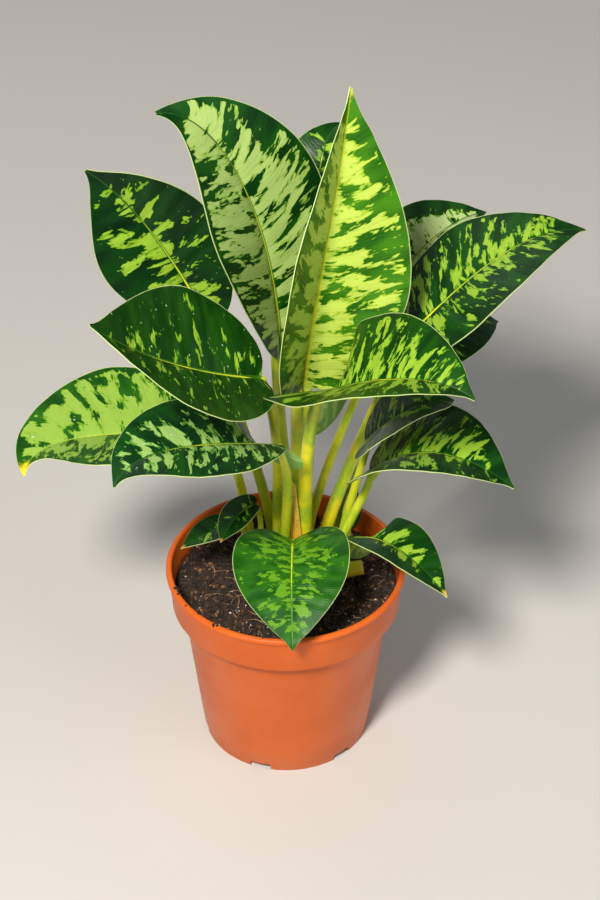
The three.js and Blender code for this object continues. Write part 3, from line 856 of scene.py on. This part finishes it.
soilForm = {"radius": 60.4, "top": 98, "cells": 150, "depth": 9, "roll": 1.5, "lump": 1.1, "grain": 0.5,
            "rollScale": 0.035, "lumpScale": 0.21, "grainScale": 0.8, "lipFrom": 52, "lipDrop": 1.6}
crumbKinds = [
    {"name": "crumbs_dark", "count": 900, "size": (0.5, 1.5), "color": (0.028, 0.014, 0.008), "seed": 1},
    {"name": "crumbs_brown", "count": 620, "size": (0.45, 1.25), "color": (0.1, 0.045, 0.02), "seed": 2},
    {"name": "bark_chips", "count": 240, "size": (0.5, 1.4), "color": (0.25, 0.12, 0.05), "seed": 3},
    {"name": "pale_grit", "count": 190, "size": (0.3, 0.62), "color": (0.8, 0.74, 0.64), "seed": 4}]
rimCrumbs = {"kind": "crumbs_dark", "count": 12, "turns": (-170, -95), "reach": (61.4, 64.4)}
fibreForm = {"count": 85, "length": (4, 13), "radius": 0.2, "color": (0.5, 0.29, 0.12), "seed": 9}


def soilHeight(x, y):
    spot = Vector((x, y, 0))
    rolling = noise.noise(spot * soilForm["rollScale"]) * soilForm["roll"]
    lumps = (abs(noise.noise(spot * soilForm["lumpScale"] + Vector((5, 3, 1)))) - 0.25) * 2 * soilForm["lump"]
    grain = noise.noise(spot * soilForm["grainScale"]) * soilForm["grain"]
    past = max(0, (math.hypot(x, y) - soilForm["lipFrom"]) / (soilForm["radius"] - soilForm["lipFrom"]))
    lip = -soilForm["lipDrop"] * past ** 2
    return soilForm["top"] - 0.6 + rolling + lumps + grain + lip


def addSoil():
    radius = soilForm["radius"]
    selectNone()
    bpy.ops.mesh.primitive_grid_add(x_subdivisions=soilForm["cells"], y_subdivisions=soilForm["cells"],
                                    size=2 * radius * mm, location=potAxis)
    soil = bpy.context.object
    soil.name = "potting_mix"
    settle()
    editMesh()
    bpy.ops.mesh.select_mode(type="VERT")
    bpy.ops.mesh.select_all(action="DESELECT")
    leaveMesh()
    for vertex in soil.data.vertices:
        vertex.select = (vertex.co - potAxis).length > radius * mm
    editMesh()
    bpy.ops.mesh.delete(type="VERT")
    bpy.ops.mesh.select_all(action="SELECT")
    bpy.ops.mesh.region_to_loop()
    leaveMesh()
    for vertex in soil.data.vertices:
        flat = vertex.co - potAxis
        if vertex.select:
            flat = flat.normalized() * radius * mm
        vertex.co = potAxis + Vector((flat.x, flat.y, soilHeight(flat.x / mm, flat.y / mm) * mm))
    editMesh()
    bpy.ops.mesh.extrude_region_move(TRANSFORM_OT_translate={"value": (0, 0, -soilForm["depth"] * mm)})
    bpy.ops.transform.resize(value=(0.93, 0.93, 1), center_override=potAxis)
    bpy.ops.mesh.edge_face_add()
    faceOutwards()
    soil.data.materials.append(soilMaterial())
    smooth(soil, 60)
    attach(soil, "root")
    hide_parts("soil")


def soilMaterial():
    material, tree, shader = newMaterial("damp_soil", 0.85)
    spot = objectSpot(tree)
    uneven = useGroup(tree, mottle, Spot=spot, Scale=110.0, Seed=3.0)
    broad = useGroup(tree, mottle, Spot=spot, Scale=24.0, Seed=8.0)
    color = mixColor(tree, uneven["Soft"], (0.009, 0.0055, 0.004, 1), (0.036, 0.017, 0.009, 1))
    color = mixColor(tree, soften(tree, uneven["Fine"], 0.58, 0.74), color, (0.12, 0.06, 0.03, 1))
    color = mixColor(tree, times(tree, broad["Soft"], 0.55), color, (0.01, 0.006, 0.004, 1))
    feed(tree, shader.inputs["Base Color"], color)
    feed(tree, shader.inputs["Roughness"], soften(tree, broad["Soft"], 0, 1, 0.93, 0.62))
    addBump(tree, shader, calc(tree, "MULTIPLY_ADD", uneven["Fine"], 0.6, uneven["Soft"]), 0.9, 0.0012)
    return material


def crumbMaterial(name, color, seed):
    material, tree, shader = newMaterial(name + "_surface", 0.8)
    spot = objectSpot(tree)
    uneven = useGroup(tree, mottle, Spot=spot, Scale=240.0, Seed=seed)
    dark = tuple(part * 0.35 for part in color)
    tree.links.new(mixColor(tree, uneven["Soft"], (*dark, 1), (*color, 1)), shader.inputs["Base Color"])
    addBump(tree, shader, uneven["Fine"], 0.6, 0.0004)
    return material


def soilSpot(dice, edge=59.0):
    turn, reach = dice.uniform(0, 2 * math.pi), edge * math.sqrt(dice.random())
    x, y = reach * math.cos(turn), reach * math.sin(turn)
    return Vector((x, y, soilHeight(x, y)))


def rimSpot(dice):
    turn, reach = math.radians(dice.uniform(*rimCrumbs["turns"])), dice.uniform(*rimCrumbs["reach"])
    drop = ((reach - potForm["rim"] + 2) / 2.6) ** 2 * 0.8
    return Vector((reach * math.cos(turn), reach * math.sin(turn), potForm["height"] - drop))


def addCrumbs(kind):
    # one rough lump, copied, each copy squashed and turned its own way
    dice = random.Random(kind["seed"])
    selectNone()
    bpy.ops.mesh.primitive_ico_sphere_add(subdivisions=1, radius=1)
    lump = bpy.context.object
    for vertex in lump.data.vertices:
        vertex.co *= dice.uniform(0.72, 1.2)
    copies = []
    onRim = rimCrumbs["count"] if kind["name"] == rimCrumbs["kind"] else 0
    for i in range(kind["count"] + onRim):
        copy = lump.copy()
        copy.data = lump.data.copy()
        size = dice.uniform(*kind["size"])
        spot = (soilSpot(dice) if i < kind["count"] else rimSpot(dice)) + Vector((0, 0, size * 0.35))
        turn = Matrix.Rotation(dice.uniform(0, 6.28), 4, Vector((dice.random(), dice.random(), 0.5)))
        squash = Matrix.Diagonal((size * dice.uniform(0.7, 1.5), size, size * dice.uniform(0.55, 0.9), 1))
        copy.data.transform(Matrix.Translation(place(spot)) @ Matrix.Scale(mm, 4) @ turn @ squash)
        bpy.context.collection.objects.link(copy)
        copies.append(copy)
    bpy.data.objects.remove(lump)
    select(*copies)
    bpy.ops.object.join()
    crumbs = bpy.context.object
    crumbs.name = kind["name"]
    crumbs.data.materials.append(crumbMaterial(kind["name"], kind["color"], kind["seed"]))
    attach(crumbs, "root")


def addFibres():
    dice = random.Random(fibreForm["seed"])
    strands = []
    for i in range(fibreForm["count"]):
        start = soilSpot(dice, 55) + Vector((0, 0, 0.5))
        turn = dice.uniform(0, 2 * math.pi)
        way = Vector((math.cos(turn), math.sin(turn), 0)) * dice.uniform(*fibreForm["length"])
        bend = Vector((-way.y, way.x, 0)) * dice.uniform(-0.3, 0.3) + Vector((0, 0, dice.uniform(0, 2)))
        end = start + way
        end.z = soilHeight(end.x, end.y) + 0.4
        if math.hypot(end.x, end.y) > 58:
            continue
        selectNone()
        bpy.ops.curve.primitive_bezier_curve_add()
        strand = bpy.context.object
        near, far = strand.data.splines[0].bezier_points
        for stop, spot, before, after in ((near, start, start - way * 0.2, start + way * 0.35 + bend),
                                          (far, end, end - way * 0.35 + bend, end + way * 0.2)):
            stop.handle_left_type = stop.handle_right_type = "FREE"
            stop.co, stop.handle_left, stop.handle_right = place(spot), place(before), place(after)
        far.radius = 0.5
        strand.data.bevel_depth = fibreForm["radius"] * mm
        strand.data.bevel_resolution = 1
        strand.data.resolution_u = 6
        strand.data.use_fill_caps = True
        strands.append(strand)
    select(*strands)
    bpy.ops.object.convert(target="MESH")
    bpy.ops.object.join()
    fibres = bpy.context.object
    fibres.name = "wood_fibres"
    fibres.data.materials.append(crumbMaterial("wood_fibres", fibreForm["color"], 11))
    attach(fibres, "root")


addSoil()
for kind in crumbKinds:
    addCrumbs(kind)
addFibres()
print("potting mix scattered")


# foot and head are shares of the thick stalk's length, facing and halfTurn are degrees
sheathForm = {"foot": 0.07, "head": 0.58, "facing": -150, "halfTurn": 66, "taper": 0.75, "gap": 0.45,
              "thickness": 0.4, "steps": (26, 60)}


def addSheath():
    shape = leafShapes["front_right"]
    curve = stalkCurve(shape)
    selectNone()
    acrossSteps, upSteps = sheathForm["steps"]
    bpy.ops.mesh.primitive_grid_add(x_subdivisions=acrossSteps, y_subdivisions=upSteps, size=2)
    sheath = bpy.context.object
    sheath.name = "dry_sheath"
    for vertex in sheath.data.vertices:
        across, climb = vertex.co.x, (vertex.co.y + 1) / 2
        ragged = 1 - 0.1 * climb * abs(noise.noise(Vector((across * 3.1, 2, 7))))
        climb *= ragged
        fray = 1 + 0.05 * noise.noise(Vector((climb * 9, 0, 4)))
        half = sheathForm["halfTurn"] * (1 - sheathForm["taper"] * climb ** 2) * fray
        turn = math.radians(sheathForm["facing"] + half * across)
        ripple = 0.1 * noise.noise(Vector((across * 4, climb * 6, 1)))
        radius = shape["stalk"][0] + sheathForm["gap"] + ripple
        share = sheathForm["foot"] + (sheathForm["head"] - sheathForm["foot"]) * climb
        middle = bezierSpot(curve["points"], timeAt(curve, share))
        vertex.co = place(middle + Vector((math.cos(turn), math.sin(turn), 0)) * radius)
    wall = sheath.modifiers.new("thickness", "SOLIDIFY")
    wall.thickness, wall.offset = sheathForm["thickness"] * mm, 1
    applyModifiers(sheath)
    editMesh()
    faceOutwards()
    smooth(sheath)
    sheath.data.materials.append(sheathPaper())
    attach(sheath, "root")
    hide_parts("sheath")


def sheathPaper():
    material, tree, shader = newMaterial("sheath_paper", 0.55)
    spot = objectSpot(tree)
    parts = splitXyz(tree, spot)
    drawn = joinXyz(tree, parts[0], parts[1], times(tree, parts[2], 0.08))
    fibres = cloud(tree, drawn, 800.0, 2.0)
    uneven = useGroup(tree, mottle, Spot=spot, Scale=90.0, Seed=5.0)
    color = mixColor(tree, uneven["Soft"], (0.68, 0.22, 0.008, 1), (0.86, 0.42, 0.02, 1))
    color = mixColor(tree, soften(tree, parts[2], 0.125, 0.165), color, (0.88, 0.6, 0.1, 1))
    color = mixColor(tree, soften(tree, fibres, 0.5, 0.66, 0.0, 0.5), color, (0.4, 0.14, 0.02, 1))
    color = mixColor(tree, soften(tree, uneven["Fine"], 0.62, 0.7, 0.0, 0.7), color, (0.1, 0.035, 0.01, 1))
    feed(tree, shader.inputs["Base Color"], color)
    addBump(tree, shader, fibres, 0.5, 0.0005)
    return material


def stalkCurve(shape):
    neck, way = Vector(shape["rib"][0]), (Vector(shape["rib"][1]) - Vector(shape["rib"][0])).normalized()
    root, end = Vector((*shape["foot"], 90)), neck - way * 1.6
    rise = (end - root).length
    leave = root + Vector((0, 0, rise * stalkHandles["root"]))
    arrive = end - way * rise * stalkHandles["neck"] - Vector((0, 0, rise * stalkHandles["drop"]))
    return measureCurve([root, leave, arrive, end])


stubForm = {"foot": 4.6, "tip": 4, "length": 12, "place": (36, 3, 104.2), "lean": 1.35, "sides": 28,
            "rim": 0.5, "rimDepth": -0.35, "face": 1.2, "faceRise": 0.3, "edge": 0.4}


def addStub():
    # the cut end of an old stalk: a tapered barrel with a sunk, paler cut face
    selectNone()
    bpy.ops.mesh.primitive_cone_add(vertices=stubForm["sides"], radius1=stubForm["foot"] * mm,
                                    radius2=stubForm["tip"] * mm, depth=stubForm["length"] * mm,
                                    location=place(stubForm["place"]), rotation=(0, stubForm["lean"], 0))
    stub = bpy.context.object
    stub.name = "stalk_stub"
    settle()
    editMesh()
    bpy.ops.mesh.select_mode(type="FACE")
    bpy.ops.mesh.select_all(action="DESELECT")
    leaveMesh()
    stub.data.materials.append(stalkSkin("stub", 30.0, 0.9))
    stub.data.materials.append(cutFlesh())
    for face in stub.data.polygons:
        face.select = len(face.vertices) > 4 and face.normal.x > 0.5
        face.material_index = 1 if face.select else 0
    editMesh()
    bpy.ops.mesh.inset(thickness=stubForm["rim"] * mm, depth=stubForm["rimDepth"] * mm)
    bpy.ops.mesh.inset(thickness=stubForm["face"] * mm, depth=stubForm["faceRise"] * mm)
    leaveMesh()
    edge = stub.modifiers.new("edge", "BEVEL")
    edge.width, edge.segments, edge.limit_method = stubForm["edge"] * mm, 3, "ANGLE"
    applyModifiers(stub)
    smooth(stub, 50)
    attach(stub, "root")
    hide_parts("cut_stub")


def cutFlesh():
    material, tree, shader = newMaterial("cut_flesh", 0.6)
    uneven = unevenness(tree, 400.0, 1.0)
    color = mixColor(tree, uneven["Soft"], (0.82, 0.7, 0.42, 1), (0.75, 0.33, 0.07, 1))
    feed(tree, shader.inputs["Base Color"], color)
    addBump(tree, shader, uneven["Fine"], 0.6, 0.0004)
    return material


addSheath()
addStub()
print("sheath and stub added")


def addFloor():
    selectNone()
    bpy.ops.mesh.primitive_plane_add(size=floorLook["size"])
    floor = bpy.context.object
    floor.name = "studio_floor"
    material, tree, shader = newMaterial("floor_paper", floorLook["roughness"])
    uneven = unevenness(tree, 3.0, 0.0)
    color = mixColor(tree, times(tree, uneven["Soft"], 0.04), floorLook["color"], (0.4, 0.39, 0.37, 1))
    feed(tree, shader.inputs["Base Color"], color)
    floor.data.materials.append(material)


addFloor()
